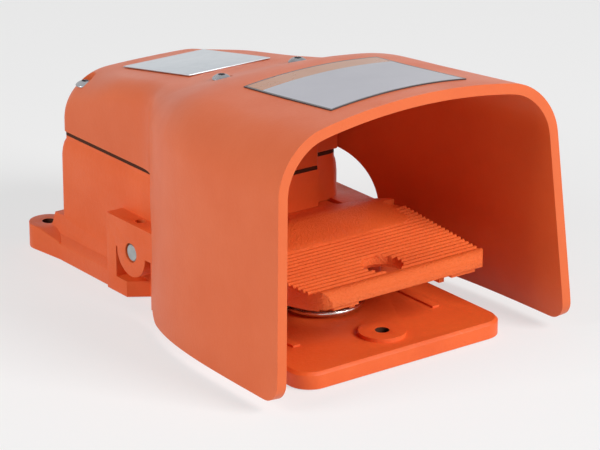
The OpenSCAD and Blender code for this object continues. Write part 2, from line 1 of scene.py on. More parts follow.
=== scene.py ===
# %% [markdown]
# # Dressing a guarded foot switch
# The object is a cast foot switch: a base, a hinged pedal on a coil spring, and a
# cover that carries on forward as a toe guard. The exact solids come in as a
# fixed frame. This lesson gives them their finish, and remakes the pieces whose
# softness the solids leave out: the guard, the base, the pedal, the spring, the
# gasket and the two bare plates.

# %% Load the frame
import math

import bpy
import json
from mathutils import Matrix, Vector


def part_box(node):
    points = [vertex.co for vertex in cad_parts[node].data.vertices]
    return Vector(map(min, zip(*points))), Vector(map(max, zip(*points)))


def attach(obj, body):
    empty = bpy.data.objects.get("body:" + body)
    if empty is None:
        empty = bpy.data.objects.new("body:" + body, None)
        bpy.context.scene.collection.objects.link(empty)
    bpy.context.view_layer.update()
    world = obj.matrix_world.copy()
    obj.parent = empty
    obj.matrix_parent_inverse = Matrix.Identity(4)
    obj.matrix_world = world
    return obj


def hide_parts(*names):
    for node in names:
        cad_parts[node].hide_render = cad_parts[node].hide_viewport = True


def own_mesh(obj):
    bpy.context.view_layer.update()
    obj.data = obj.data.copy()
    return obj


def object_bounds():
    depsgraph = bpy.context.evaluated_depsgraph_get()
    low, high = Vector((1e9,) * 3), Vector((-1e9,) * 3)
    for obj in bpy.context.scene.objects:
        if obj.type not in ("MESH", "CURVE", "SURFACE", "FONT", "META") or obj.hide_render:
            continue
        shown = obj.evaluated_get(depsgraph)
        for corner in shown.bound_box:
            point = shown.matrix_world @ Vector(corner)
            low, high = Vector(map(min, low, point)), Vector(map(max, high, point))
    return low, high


MM = 0.001

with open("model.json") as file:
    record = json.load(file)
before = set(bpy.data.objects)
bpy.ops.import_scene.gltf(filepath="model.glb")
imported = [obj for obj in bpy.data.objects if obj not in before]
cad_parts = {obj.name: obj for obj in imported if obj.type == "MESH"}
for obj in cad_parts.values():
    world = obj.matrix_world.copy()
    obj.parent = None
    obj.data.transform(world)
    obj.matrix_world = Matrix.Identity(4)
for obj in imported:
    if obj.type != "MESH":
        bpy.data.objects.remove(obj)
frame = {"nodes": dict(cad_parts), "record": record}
nodes = frame["nodes"]
cad_low, cad_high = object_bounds()
print("nodes", len(nodes), "size mm", [round(1000 * v) for v in cad_high - cad_low])

# %% [markdown]
# ## Camera, floor and light
# The camera stands in front and to the left, a little above, with a long lens so
# that the guard keeps its proportions. A large plain floor, a soft key lamp high
# in front and a weaker one from the left give a quiet studio, and keep the
# inside of the guard dark. The floor and the world show nearly white to the
# camera, and to metal that mirrors them, through Light Path, so the lamps never
# have to be strong.

# %% Camera
scene = bpy.context.scene
bpy.ops.object.select_all(action="DESELECT")
bpy.ops.object.camera_add(
    location=(-0.81103, -1.12068, 0.54461),
    rotation=(math.radians(69.746), 0, math.radians(-36.617)),
)
camera = bpy.context.object
camera.data.lens = 183.18
camera.data.sensor_width = 36
camera.data.clip_end = 30
scene.camera = camera
scene.view_settings.view_transform = "Standard"
print("camera distance", round(camera.location.length, 3))


# %% Floor and world
def shown_as(tree, lit, shown, share):
    """Mixes a lit shader with a plain one that only camera and mirror rays see."""
    path = tree.nodes.new("ShaderNodeLightPath")
    seen = tree.nodes.new("ShaderNodeMath")
    seen.operation = "MAXIMUM"
    tree.links.new(path.outputs["Is Camera Ray"], seen.inputs[0])
    tree.links.new(path.outputs["Is Glossy Ray"], seen.inputs[1])
    part = tree.nodes.new("ShaderNodeMath")
    part.operation = "MULTIPLY"
    part.inputs[1].default_value = share
    tree.links.new(seen.outputs[0], part.inputs[0])
    mix = tree.nodes.new("ShaderNodeMixShader")
    tree.links.new(part.outputs[0], mix.inputs[0])
    tree.links.new(lit, mix.inputs[1])
    tree.links.new(shown, mix.inputs[2])
    return mix.outputs[0]


bpy.ops.mesh.primitive_plane_add(size=12, location=(0, 0, -0.0006))
floor = bpy.context.object
floor.name = "studio_floor"
floor_mat = bpy.data.materials.new("floor_paper")
floor_mat.use_nodes = True
tree = floor_mat.node_tree
paper = tree.nodes["Principled BSDF"]
paper.inputs["Base Color"].default_value = (0.86, 0.86, 0.86, 1)
paper.inputs["Roughness"].default_value = 0.9
glow = tree.nodes.new("ShaderNodeEmission")
glow.inputs["Color"].default_value = (1, 1, 1, 1)
out = tree.nodes["Material Output"]
tree.links.new(shown_as(tree, paper.outputs[0], glow.outputs[0], 0.62), out.inputs[0])
floor.data.materials.append(floor_mat)

world = bpy.data.worlds.new("studio_world")
scene.world = world
world.use_nodes = True
tree = world.node_tree
fill = tree.nodes["Background"]
fill.inputs["Color"].default_value = (1, 1, 1, 1)
fill.inputs["Strength"].default_value = 0.07
white = tree.nodes.new("ShaderNodeBackground")
white.inputs["Color"].default_value = (1, 1, 1, 1)
white.inputs["Strength"].default_value = 1.0
out = tree.nodes["World Output"]
tree.links.new(shown_as(tree, fill.outputs[0], white.outputs[0], 1.0), out.inputs[0])


# %% Lamps
def lamp(name, place, power):
    """A square soft lamp, 1 m wide, that looks at the middle of the object."""
    bpy.ops.object.light_add(type="AREA", location=place)
    light = bpy.context.object
    light.name = name
    light.data.size = 1.0
    light.data.energy = power
    toward = Vector((0, 0, 0.05)) - Vector(place)
    light.rotation_euler = toward.to_track_quat("-Z", "Y").to_euler()


lamp("key_front", (0.7, -1.9, 1.35), 50)
lamp("side_left", (-2.0, 0.1, 1.0), 25)

# %% [markdown]
# ## Finishes
# Powder paint over a casting is not one flat colour: it is thinner on edges, pools slightly in
# hollows, and its skin is pebbled like orange peel. One node group makes a tone that drifts in soft
# random patches, small darker specks and a pebbled skin, as values - a colour, a roughness and a
# height - and every material places it with its own numbers. The shader itself stays in each material.


# %% A coat of paint as a node group
def new_group(name, inputs, outputs):
    """Makes an empty node group with its sockets."""
    group = bpy.data.node_groups.new(name, "ShaderNodeTree")
    for label, kind, value in inputs:
        socket = group.interface.new_socket(label, in_out="INPUT", socket_type=kind)
        socket.default_value = value
    for label, kind in outputs:
        group.interface.new_socket(label, in_out="OUTPUT", socket_type=kind)
    return group, group.nodes.new("NodeGroupInput"), group.nodes.new("NodeGroupOutput")


NUMBER, COLOUR = "NodeSocketFloat", "NodeSocketColor"


def noise(group, where, scale, detail=3.0, rough=0.5):
    """Noise over a vector; the scale is a number or a socket."""
    node = group.nodes.new("ShaderNodeTexNoise")
    node.inputs["Detail"].default_value = detail
    node.inputs["Roughness"].default_value = rough
    group.links.new(where, node.inputs["Vector"])
    if isinstance(scale, (int, float)):
        node.inputs["Scale"].default_value = scale
    else:
        group.links.new(scale, node.inputs["Scale"])
    return node.outputs["Fac"]


def math_node(group, kind, a, b):
    """One sum or product of numbers or sockets."""
    node = group.nodes.new("ShaderNodeMath")
    node.operation = kind
    for socket, value in zip(node.inputs, (a, b)):
        if isinstance(value, (int, float)):
            socket.default_value = value
        else:
            group.links.new(value, socket)
    return node.outputs[0]


def spread(group, value, low, high, to_low, to_high):
    """Maps low..high of a value to another range."""
    node = group.nodes.new("ShaderNodeMapRange")
    group.links.new(value, node.inputs["Value"])
    for label, number in zip(("From Min", "From Max"), (low, high)):
        node.inputs[label].default_value = number
    for label, number in zip(("To Min", "To Max"), (to_low, to_high)):
        if isinstance(number, (int, float)):
            node.inputs[label].default_value = number
        else:
            group.links.new(number, node.inputs[label])
    return node.outputs[0]


def blend_colour(group, share, a, b):
    """Blends two colours by a share."""
    node = group.nodes.new("ShaderNodeMix")
    node.data_type = "RGBA"
    group.links.new(share, node.inputs[0])
    for socket, value in ((node.inputs[6], a), (node.inputs[7], b)):
        group.links.new(value, socket)
    return node.outputs[2]


coat, coat_in, coat_out = new_group(
    "surface_coat",
    [
        ("Thick colour", COLOUR, (0.8, 0.2, 0.05, 1)),
        ("Thin colour", COLOUR, (0.7, 0.15, 0.04, 1)),
        ("Speck colour", COLOUR, (0.4, 0.08, 0.03, 1)),
        ("Specks", NUMBER, 0.1),
        ("Peel scale", NUMBER, 700.0),
        ("Grit scale", NUMBER, 2200.0),
        ("Grit", NUMBER, 0.3),
        ("Gloss low", NUMBER, 0.35),
        ("Gloss high", NUMBER, 0.5),
    ],
    [("Colour", COLOUR), ("Roughness", NUMBER), ("Height", NUMBER)],
)
place = coat.nodes.new("ShaderNodeTexCoord").outputs["Object"]
pools = noise(coat, place, 34.0, 4.0, 0.6)
peel = noise(coat, place, coat_in.outputs["Peel scale"], 2.0, 0.45)
grit = noise(coat, place, coat_in.outputs["Grit scale"], 3.0, 0.6)
dots = coat.nodes.new("ShaderNodeTexVoronoi")
dots.inputs["Scale"].default_value = 420.0
coat.links.new(place, dots.inputs["Vector"])
speck = spread(coat, dots.outputs["Distance"], 0.05, 0.16, 1.0, 0.0)
speck = math_node(coat, "MULTIPLY", speck, coat_in.outputs["Specks"])
tone = spread(coat, pools, 0.32, 0.68, 0.0, 1.0)
thick, thin = coat_in.outputs["Thick colour"], coat_in.outputs["Thin colour"]
colour = blend_colour(coat, tone, thick, thin)
colour = blend_colour(coat, speck, colour, coat_in.outputs["Speck colour"])
coat.links.new(colour, coat_out.inputs["Colour"])
gloss_low, gloss_high = coat_in.outputs["Gloss low"], coat_in.outputs["Gloss high"]
gloss = spread(coat, pools, 0.3, 0.7, gloss_low, gloss_high)
coat.links.new(gloss, coat_out.inputs["Roughness"])
rough_part = math_node(coat, "MULTIPLY", grit, coat_in.outputs["Grit"])
height = math_node(coat, "ADD", peel, rough_part)
coat.links.new(height, coat_out.inputs["Height"])
print("group sockets", [s.name for s in coat.interface.items_tree])


# %% [markdown]
# Bare metal is different: turning and drawing leave fine lines along one way,
# and handling dulls it in patches. The second group stretches a noise along one
# axis for the lines, and a broad one dulls the shine.

# %% Bare metal as a node group
metal, metal_in, metal_out = new_group(
    "worked_metal",
    [
        ("Bright", COLOUR, (0.7, 0.7, 0.7, 1)),
        ("Dull", COLOUR, (0.4, 0.4, 0.4, 1)),
        ("Stretch", "NodeSocketVector", (1.0, 1.0, 1.0)),
        ("Line scale", NUMBER, 900.0),
        ("Gloss low", NUMBER, 0.2),
        ("Gloss high", NUMBER, 0.4),
    ],
    [("Colour", COLOUR), ("Roughness", NUMBER), ("Height", NUMBER)],
)
place = metal.nodes.new("ShaderNodeTexCoord").outputs["Object"]
pull = metal.nodes.new("ShaderNodeVectorMath")
pull.operation = "MULTIPLY"
metal.links.new(place, pull.inputs[0])
metal.links.new(metal_in.outputs["Stretch"], pull.inputs[1])
lines = noise(metal, pull.outputs[0], metal_in.outputs["Line scale"], 3.0, 0.6)
patches = noise(metal, place, 160.0, 4.0, 0.6)
dulled = spread(metal, patches, 0.35, 0.7, 0.0, 1.0)
colour = blend_colour(metal, dulled, metal_in.outputs["Bright"], metal_in.outputs["Dull"])
metal.links.new(colour, metal_out.inputs["Colour"])
half_lines = math_node(metal, "MULTIPLY", lines, 0.5)
half_patches = math_node(metal, "MULTIPLY", patches, 0.5)
both_marks = math_node(metal, "ADD", half_lines, half_patches)
gloss_low, gloss_high = metal_in.outputs["Gloss low"], metal_in.outputs["Gloss high"]
gloss = spread(metal, both_marks, 0.35, 0.65, gloss_low, gloss_high)
metal.links.new(gloss, metal_out.inputs["Roughness"])
metal.links.new(lines, metal_out.inputs["Height"])
print("group sockets", [s.name for s in metal.interface.items_tree])


# %% Build a material round a group
def material(name, group, values, bump, depth, **shader):
    """A principled shader fed by a group; extra values go to the shader's sockets."""
    mat = bpy.data.materials.new(name)
    mat.use_nodes = True
    tree = mat.node_tree
    bsdf = tree.nodes["Principled BSDF"]
    effect = tree.nodes.new("ShaderNodeGroup")
    effect.node_tree = group
    for label, value in values.items():
        effect.inputs[label].default_value = value
    for label, value in shader.items():
        bsdf.inputs[label.replace("_", " ")].default_value = value
    tree.links.new(effect.outputs["Colour"], bsdf.inputs["Base Color"])
    tree.links.new(effect.outputs["Roughness"], bsdf.inputs["Roughness"])
    if bump:
        relief = tree.nodes.new("ShaderNodeBump")
        relief.inputs["Strength"].default_value = bump
        relief.inputs["Distance"].default_value = depth
        tree.links.new(effect.outputs["Height"], relief.inputs["Height"])
        tree.links.new(relief.outputs["Normal"], bsdf.inputs["Normal"])
    return mat


def coated(name, thick, thin, speck, *, specks, peel, grains, grit, gloss, bump, depth, **shader):
    """Paint, rubber, film or moulding."""
    values = {
        "Thick colour": (*thick, 1), "Thin colour": (*thin, 1), "Speck colour": (*speck, 1),
        "Specks": specks, "Peel scale": peel, "Grit scale": grains, "Grit": grit,
        "Gloss low": gloss[0], "Gloss high": gloss[1],
    }
    return material(name, coat, values, bump, depth, **shader)


def metallic(name, bright, dull, *, stretch=(1, 1, 1), lines, gloss, bump=0.1):
    """Bare metal whose lines are stretched along one axis."""
    values = {
        "Bright": (*bright, 1), "Dull": (*dull, 1), "Stretch": stretch,
        "Line scale": lines, "Gloss low": gloss[0], "Gloss high": gloss[1],
    }
    return material(name, metal, values, bump, 0.0001, Metallic=1.0)


# %% Orange paint, three ways
finish = {}
finish["cover_paint"] = coated(
    "orange_cover", (0.80, 0.150, 0.036), (0.76, 0.134, 0.031), (0.55, 0.08, 0.02),
    specks=0.08, peel=620.0, grains=2400.0, grit=0.5,
    gloss=(0.38, 0.47), bump=0.20, depth=0.0004, Specular_IOR_Level=0.45)
finish["casting_paint"] = coated(
    "orange_casting", (0.90, 0.150, 0.030), (0.84, 0.128, 0.025), (0.50, 0.07, 0.02),
    specks=0.14, peel=520.0, grains=1900.0, grit=0.8,
    gloss=(0.42, 0.54), bump=0.32, depth=0.0005, Specular_IOR_Level=0.4)
finish["pedal_paint"] = coated(
    "orange_pedal", (0.94, 0.165, 0.030), (0.86, 0.135, 0.024), (0.42, 0.05, 0.015),
    specks=0.45, peel=700.0, grains=1500.0, grit=1.7,
    gloss=(0.46, 0.60), bump=0.65, depth=0.0008, Specular_IOR_Level=0.35)

# %% Rubber, mouldings and plates
finish["gasket_rubber"] = coated(
    "gasket_rubber", (0.062, 0.020, 0.010), (0.074, 0.024, 0.012), (0.09, 0.034, 0.018),
    specks=0.2, peel=900.0, grains=2600.0, grit=0.6,
    gloss=(0.75, 0.9), bump=0.2, depth=0.0003, Specular_IOR_Level=0.2)
finish["moulding_black"] = coated(
    "moulding_black", (0.030, 0.026, 0.025), (0.040, 0.034, 0.032), (0.06, 0.05, 0.05),
    specks=0.15, peel=800.0, grains=2600.0, grit=0.4,
    gloss=(0.4, 0.55), bump=0.1, depth=0.0002)
finish["moulding_brown"] = coated(
    "moulding_brown", (0.075, 0.05, 0.036), (0.09, 0.06, 0.045), (0.13, 0.09, 0.07),
    specks=0.15, peel=800.0, grains=2600.0, grit=0.4,
    gloss=(0.35, 0.5), bump=0.1, depth=0.0002)
finish["moulding_ivory"] = coated(
    "moulding_ivory", (0.66, 0.61, 0.46), (0.60, 0.55, 0.41), (0.45, 0.4, 0.3),
    specks=0.1, peel=800.0, grains=2600.0, grit=0.4,
    gloss=(0.35, 0.5), bump=0.1, depth=0.0002)
finish["green_screw"] = coated(
    "green_screw", (0.05, 0.22, 0.08), (0.04, 0.18, 0.07), (0.02, 0.1, 0.04),
    specks=0.1, peel=900.0, grains=2600.0, grit=0.4,
    gloss=(0.3, 0.45), bump=0.1, depth=0.0002, Metallic=0.4)
finish["label_grey"] = coated(
    "label_film", (0.54, 0.54, 0.60), (0.52, 0.52, 0.58), (0.44, 0.44, 0.48),
    specks=0.04, peel=260.0, grains=2600.0, grit=0.2,
    gloss=(0.34, 0.40), bump=0.03, depth=0.0002, Specular_IOR_Level=0.4)
finish["label_band"] = coated(
    "label_band_ink", (0.56, 0.25, 0.13), (0.52, 0.23, 0.12), (0.4, 0.2, 0.1),
    specks=0.05, peel=260.0, grains=2600.0, grit=0.2,
    gloss=(0.24, 0.34), bump=0.04, depth=0.0002)
finish["label_edge"] = coated(
    "label_edge_ink", (0.035, 0.03, 0.035), (0.05, 0.045, 0.05), (0.09, 0.08, 0.08),
    specks=0.1, peel=300.0, grains=2600.0, grit=0.2,
    gloss=(0.25, 0.4), bump=0.05, depth=0.0002)

# %% Steels, bronze and copper
finish["bright_steel"] = metallic(
    "bright_steel", (0.34, 0.35, 0.37), (0.18, 0.185, 0.20),
    lines=700.0, gloss=(0.22, 0.40))
finish["pin_steel"] = metallic(
    "turned_steel", (0.50, 0.54, 0.54), (0.34, 0.37, 0.37),
    stretch=(4, 1, 1), lines=500.0, gloss=(0.28, 0.46), bump=0.2)
finish["black_steel"] = metallic(
    "black_steel", (0.10, 0.10, 0.11), (0.06, 0.06, 0.07),
    lines=600.0, gloss=(0.3, 0.5))
finish["bronze"] = metallic(
    "bronze", (0.62, 0.44, 0.20), (0.45, 0.30, 0.13),
    lines=700.0, gloss=(0.28, 0.45))
finish["spring_steel"] = metallic(
    "spring_wire", (0.74, 0.73, 0.70), (0.48, 0.46, 0.43),
    stretch=(1, 1, 6), lines=400.0, gloss=(0.16, 0.32))
finish["plated_steel"] = metallic(
    "plated_sheet", (0.62, 0.63, 0.60), (0.48, 0.49, 0.45),
    stretch=(1, 8, 1), lines=300.0, gloss=(0.25, 0.42))
finish["plate_silver"] = metallic(
    "satin_plate", (0.52, 0.55, 0.58), (0.49, 0.52, 0.55),
    stretch=(1, 12, 1), lines=260.0, gloss=(0.44, 0.52), bump=0.06)
finish["copper_alloy"] = metallic(
    "copper_strip", (0.80, 0.47, 0.24), (0.62, 0.34, 0.17),
    stretch=(1, 6, 1), lines=300.0, gloss=(0.2, 0.38))
print("finishes", len(finish))

# %% [markdown]
# Every solid that stays visible is given the finish that the record names for
# it. Only its material slots change; its shape and place stay as they came.

# %% Dress the solids
slot_of = {p["node"]: p["material_slot"] for p in frame["record"]["subparts"]}
for name, solid in nodes.items():
    solid.data.materials.clear()
    solid.data.materials.append(finish[slot_of[name]])
print("dressed", len(slot_of))


# %% [markdown]
# ## Working by hand
# Blender's operators act on everything that is selected, so each step starts by
# selecting nothing, and then picks faces, edges or points by where they are.
# These few helpers do that, and hand a finished piece over to the frame.


# %% Selection helpers
def alone(obj):
    """Makes obj the only selected object."""
    if bpy.context.object and bpy.context.object.mode != "OBJECT":
        bpy.ops.object.mode_set(mode="OBJECT")
    bpy.ops.object.select_all(action="DESELECT")
    obj.select_set(True)
    bpy.context.view_layer.objects.active = obj
    return obj


def pick(obj, kind, test):
    """In edit mode, selects the vertices, edges or faces that pass the test."""
    bpy.ops.object.mode_set(mode="EDIT")
    bpy.ops.mesh.select_mode(type=kind)
    bpy.ops.mesh.select_all(action="DESELECT")
    bpy.ops.object.mode_set(mode="OBJECT")
    parts = {"VERT": obj.data.vertices, "EDGE": obj.data.edges, "FACE": obj.data.polygons}[kind]
    hits = 0
    for part in parts:
        part.select = bool(test(part))
        hits += part.select
    bpy.ops.object.mode_set(mode="EDIT")
    return hits


def add_modifier(obj, kind, **values):
    """Adds a modifier, sets it and applies it at once."""
    alone(obj)
    mod = obj.modifiers.new(kind.lower(), kind)
    for label, value in values.items():
        setattr(mod, label, value)
    bpy.ops.object.modifier_apply(modifier=mod.name)


def settle(obj, name, body, slot, *replaced, angle=35):
    """Names a finished piece, smooths it, puts its place in its mesh and lets it ride."""
    alone(obj)
    bpy.ops.object.transform_apply(location=True, rotation=True, scale=True)
    bpy.ops.object.shade_smooth_by_angle(angle=math.radians(angle))
    obj.name = name
    obj.data.name = name
    if not obj.data.materials:
        obj.data.materials.append(finish[slot])
    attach(obj, body)
    if replaced:
        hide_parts(*replaced)
    obj.data.calc_loop_triangles()
    print(name, "triangles", len(obj.data.loop_triangles))
    return obj


def join(first, *others):
    """Joins the other objects into the first."""
    alone(first)
    for other in others:
        other.select_set(True)
    bpy.context.view_layer.objects.active = first
    bpy.ops.object.join()
    return first


# %% [markdown]
# ## Cover and toe guard
# The cover and the guard are one casting: a box lid at the back whose section
# opens smoothly, like a bell, into an arch wide enough for a boot. Extruding and
# scaling a profile can't hold the roof, the corner radius and the side draft at
# once, so the skin starts as a flat grid of points whose rows are laid along the
# object, each following the section at its place. Solidify gives the 5 mm
# wall, Bevel rounds the rim, and one Subdivision makes it flow.

# %% Numbers of the guard skin
mouth = cad_low.y / MM
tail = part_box("cover_guard")[1].y / MM
joint_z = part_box("cover_gasket")[1].z / MM
box_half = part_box("cover_gasket")[1].x / MM
mouth_half = 80.0
wall = 5.0
lean = 0.077
front_screw_x, front_screw_y, front_flat_z = 22.3, 2.5, 111.6
rear_screw_x, rear_screw_y, rear_flat_z = box_half - 8.8, tail - 8.2, 87.0
flat_width = 11
pin_y, pin_z, pin_bore = 29.0, 24.0, 10.6
print("mouth", mouth, "tail", round(tail, 1), "joint", round(joint_z, 1))


def flare(y):
    """Share of the opening from the box's width to the mouth's, at y."""
    return math.tanh((27.7 - y) * 0.0208) if y < 27.7 else 0.0


def smooth(t):
    """A soft step from 0 to 1."""
    t = min(1.0, max(0.0, t))
    return t * t * (3 - 2 * t)


def roof(y):
    """Roof height at y: the cover's slope behind, the guard's in front."""
    g = smooth((14 - y) / 48)
    return (111.8 - 0.172 * y) * (1 - g) + (130 - 0.085 * (y - mouth - 9.7)) * g


def roll(y, run, drop):
    """How far the surface has rolled in, over its last run before the tail."""
    d = (y - tail + run) / run
    return 0.0 if d < 0 else drop * (1 - math.sqrt(max(0.0, 1 - d * d)))


def corner(y):
    """Half width, corner radii, roof height, crown and shoulder height at y."""
    f = flare(y)
    g = smooth((y - tail + 44.5) / 38)
    w = box_half + (mouth_half - box_half) * f - roll(y, 3, 3)
    top = roof(y) - roll(y, 8.5, 7)
    crown = 0.0006 + 0.00107 * f
    rz = 11 + 12 * f + 8 * g
    return w, 11 + 14 * f + 12 * g, rz, top, crown, top - crown * w * w - rz


# %% Rows of the skin: where each starts at its lower edge and ends at the roof
def arc(cy, cz, ry, rz, a0, a1, n):
    """Points along part of an ellipse in the side view."""
    angles = [math.radians(a0 + (a1 - a0) * i / n) for i in range(n + 1)]
    return [(cy + ry * math.cos(a), cz + rz * math.sin(a)) for a in angles]


def steps(a, b, n):
    """Evenly spaced numbers from a to b."""
    return [a + (b - a) * i / n for i in range(n + 1)]


edge = arc(mouth + 9.1, 15, 9.1, 9.1, 180, 270, 6)
top_y = steps(mouth, mouth + 9, 6)
edge += [(y, 6) for y in steps(mouth + 9.1, -18.5, 14)[1:]]
top_y += steps(mouth + 9, -19.5, 14)[1:]
edge += arc(-18.5, 19, 13, 13, 270, 360, 7)[1:]
top_y += steps(-19.5, -13.5, 7)[1:]
edge += [(-5.5, z) for z in steps(19, 31.9, 3)[1:]]
top_y += steps(-13.5, -9.5, 3)[1:]
edge += arc(25.5, 31.9, 31, joint_z - 31.9, 180, 90, 12)[1:]
top_y += steps(-9.5, 25.5, 12)[1:]
back = steps(25.5, tail - 8.5, 11)[1:] + [tail - d for d in (7, 5.5, 4, 2.8, 1.8, 1.0, 0.45, 0.1, 0.0)]
edge += [(y, joint_z) for y in back]
top_y += back
print("rows", len(edge))


# %% One row of points, from the left lower edge over the roof to the right
WALL, BEND, CROWN = 10, 10, 7


def lean_share(y):
    """The rows lean back more and more towards the mouth."""
    return max(0.0, min(1.0, (-60 - y) / (-60 - mouth)))


def half_row(start, y_top):
    """Points up the side wall, round the bend and half way over the crown."""
    w, rx, rz, top, crown, shoulder = corner(y_top)
    hold = lean_share(y_top)
    points = []
    for k in range(WALL):
        t = k / WALL
        y = start[0] + (y_top - start[0]) * t
        z = start[1] + (shoulder - start[1]) * t
        cw, _, _, _, _, sh = corner(y)
        points.append((cw + 6 * flare(y) / 90 * max(0.0, sh - z), y, z))
    for k in range(BEND + 1):
        a = math.radians(90 - 90 * k / BEND)
        x = w - rx + rx * math.sin(a)
        points.append((x, y_top, top - crown * x * x - rz * (1 - math.cos(a))))
    for k in range(1, CROWN + 1):
        x = (w - rx) * (1 - k / CROWN)
        points.append((x, y_top, top - crown * x * x))
    return [(x, y + lean * max(0.0, z - 15) * hold, z) for x, y, z in points]


rows = []
for start, y_top in zip(edge, top_y):
    half = half_row(start, y_top)
    rows.append([(-x, y, z) for x, y, z in half[:-1]] + [half[-1]] + half[-2::-1])
columns = len(rows[0])
print("columns", columns)

# %% Lay the grid along the rows
bpy.ops.object.select_all(action="DESELECT")
bpy.ops.mesh.primitive_grid_add(x_subdivisions=columns - 1, y_subdivisions=len(rows) - 1, size=1)
guard = bpy.context.object
order = sorted(guard.data.vertices, key=lambda v: (round(v.co.y, 5), round(v.co.x, 5)))
for k, v in enumerate(order):
    v.co = Vector(rows[k // columns][k % columns]) * MM
print("points", len(order), "expected", columns * len(rows))

# %% Close the rear wall, give thickness, round the rim
pick(guard, "VERT", lambda v: v.co.y > (tail - 0.02) * MM)
bpy.ops.mesh.edge_face_add()
bpy.ops.mesh.select_all(action="SELECT")
bpy.ops.mesh.normals_make_consistent(inside=False)
bpy.ops.object.mode_set(mode="OBJECT")
up = sum(p.normal.z * p.area for p in guard.data.polygons)
if up < 0:
    alone(guard)
    bpy.ops.object.mode_set(mode="EDIT")
    bpy.ops.mesh.select_all(action="SELECT")
    bpy.ops.mesh.flip_normals()
    bpy.ops.object.mode_set(mode="OBJECT")
add_modifier(guard, "SOLIDIFY", thickness=wall * MM, offset=-1, use_even_offset=True)
add_modifier(guard, "BEVEL", width=1.3 * MM, segments=3, limit_method="ANGLE",
             angle_limit=math.radians(50))
add_modifier(guard, "SUBSURF", levels=1, render_levels=1)
print("guard faces", len(guard.data.polygons))


# %% Flats under the screw heads
def cut(obj, x, y, z, width):
    """Cuts a round flat with its floor at z, open upwards."""
    deep = 30
    bpy.ops.object.select_all(action="DESELECT")
    bpy.ops.mesh.primitive_cylinder_add(
        vertices=48, radius=width / 2 * MM, depth=deep * MM,
        location=(x * MM, y * MM, (z + deep / 2) * MM))
    cutter = bpy.context.object
    add_modifier(obj, "BOOLEAN", operation="DIFFERENCE", solver="EXACT", object=cutter)
    bpy.data.objects.remove(cutter)


for side in (-1, 1):
    cut(guard, side * front_screw_x, front_screw_y, front_flat_z, flat_width)
    cut(guard, side * rear_screw_x, rear_screw_y, rear_flat_z, flat_width)
print("guard faces", len(guard.data.polygons))


# %% [markdown]
# Behind the opening, the cover comes down in front of the contact block as a
# wall with a raised panel in its middle, and two short walls close the corners.
# They are plain cast walls, so each is a cube with its edges rounded, sunk into
# the skin above it.

# %% A softened block
def block(low, high, round_by):
    """A cube between two corners, in mm, with rounded edges."""
    low, high = Vector(low) * MM, Vector(high) * MM
    bpy.ops.object.select_all(action="DESELECT")
    bpy.ops.mesh.primitive_cube_add(size=1, location=(low + high) / 2)
    obj = bpy.context.object
    bpy.ops.object.mode_set(mode="EDIT")
    bpy.ops.transform.resize(value=high - low)
    bpy.ops.mesh.bevel(offset=round_by * MM, segments=3, affect="EDGES")
    bpy.ops.object.mode_set(mode="OBJECT")
    bpy.ops.object.transform_apply(location=True, rotation=False, scale=False)
    return obj


front_wall = block((-box_half, 2, joint_z), (box_half, 7, 107.6), 0.8)
panel = block((-31, -2.5, joint_z - 4.5), (31, 5, 108.4), 0.8)
sides = [block((s * 43.7 - 2.3, 2.4, joint_z), (s * 43.7 + 2.3, 22, 99.0), 0.6) for s in (-1, 1)]
guard = join(guard, front_wall, panel, *sides)

settle(guard, "toe_guard", "base", "cover_paint", "cover_guard", angle=40)


# %% [markdown]
# ## Label on the guard roof
# A thin film is bent over the roof. It is a grid of points that takes the height
# of the leaning skin and half a millimetre more, with narrow rows and columns
# along its edge, so that a dark line can be printed there as faces of their own.
# A tan band crosses its rear end, and the rest of it stays bare.

# %% Bend the label over the roof
def skin_height(x, y):
    """Height of the guard's skin above a point in plan."""
    y_row = y
    for _ in range(4):
        z = roof(y_row) - (0.0006 + 0.00107 * flare(y_row)) * x * x
        y_row = y - lean * (z - 15) * lean_share(y_row)
    return z


film = 0.5
label_low, label_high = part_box("guard_label")
label_half = label_high.x / MM
label_front, label_back = label_low.y / MM, label_high.y / MM
line_wide, band_deep = 1.1, 13.0
band_edge = label_back - band_deep
label_x = [-label_half] + steps(line_wide - label_half, label_half - line_wide, 16) + [label_half]
label_y = [label_front] + steps(label_front + line_wide, band_edge, 12)
label_y += steps(band_edge, label_back - line_wide, 3)[1:] + [label_back]
bpy.ops.object.select_all(action="DESELECT")
bpy.ops.mesh.primitive_grid_add(
    x_subdivisions=len(label_x) - 1, y_subdivisions=len(label_y) - 1, size=1)
label = bpy.context.object
order = sorted(label.data.vertices, key=lambda v: (round(v.co.y, 5), round(v.co.x, 5)))
for k, v in enumerate(order):
    x, y = label_x[k % len(label_x)], label_y[k // len(label_x)]
    v.co = Vector((x, y, skin_height(x, y) + film)) * MM
label.data.materials.append(finish["label_grey"])
label.data.materials.append(finish["label_edge"])
label.data.materials.append(finish["label_band"])
for face in label.data.polygons:
    x, y = face.center.x / MM, face.center.y / MM
    edge_gap = min(label_half - abs(x), y - label_front, label_back - y)
    face.material_index = 1 if edge_gap < line_wide else 2 if y > band_edge else 0
add_modifier(label, "SOLIDIFY", thickness=film * MM, offset=-1)
settle(label, "bare_guard_label", "base", "label_grey", "guard_label")


# %% [markdown]
# ## Base and pedal
# These are castings with flat and round faces that the solids already hold
# exactly. What they lack is the soft edge that sand casting and paint leave. A
# copy of the solid is merged, its flat triangles are dissolved into whole faces,
# and a bevel rounds every hard edge.


